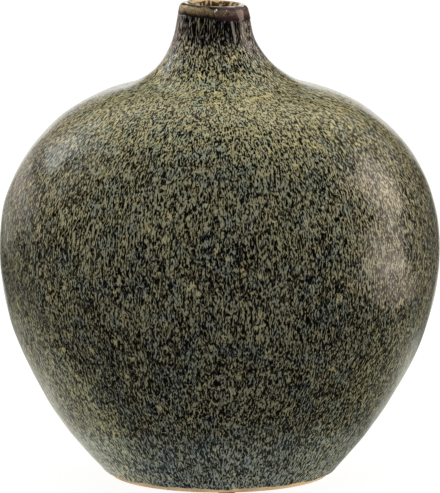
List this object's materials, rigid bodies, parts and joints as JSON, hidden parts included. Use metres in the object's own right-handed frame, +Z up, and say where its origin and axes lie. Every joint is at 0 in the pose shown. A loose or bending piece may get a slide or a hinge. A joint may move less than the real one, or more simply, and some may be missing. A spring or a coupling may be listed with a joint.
{
  "type": "bottle vase",
  "caption": "Round-bellied stoneware bottle vase with a short narrow neck, speckled glaze and felt dots under its foot.",
  "frame": {"origin": "on the surface that the vase stands on, under the middle of its foot", "axes": "+Z up along the vase's axis; -Y is the front, where the first felt dot is"},
  "size_m": [0.222, 0.222, 0.24],
  "materials": {
    "stoneware": "matte",
    "speckled_glaze": "glossy",
    "lip_glaze": "glossy",
    "liner_glaze": "glossy",
    "base_glaze": "glossy",
    "felt": "matte"
  },
  "bodies": {
    "root": {"clay_body": "stoneware", "outer_glaze": "speckled_glaze", "lip_glaze": "lip_glaze", "liner_glaze": "liner_glaze", "base_glaze": "base_glaze", "felt_dot_front": "felt", "felt_dot_right": "felt", "felt_dot_left": "felt"}
  },
  "joints": []
}
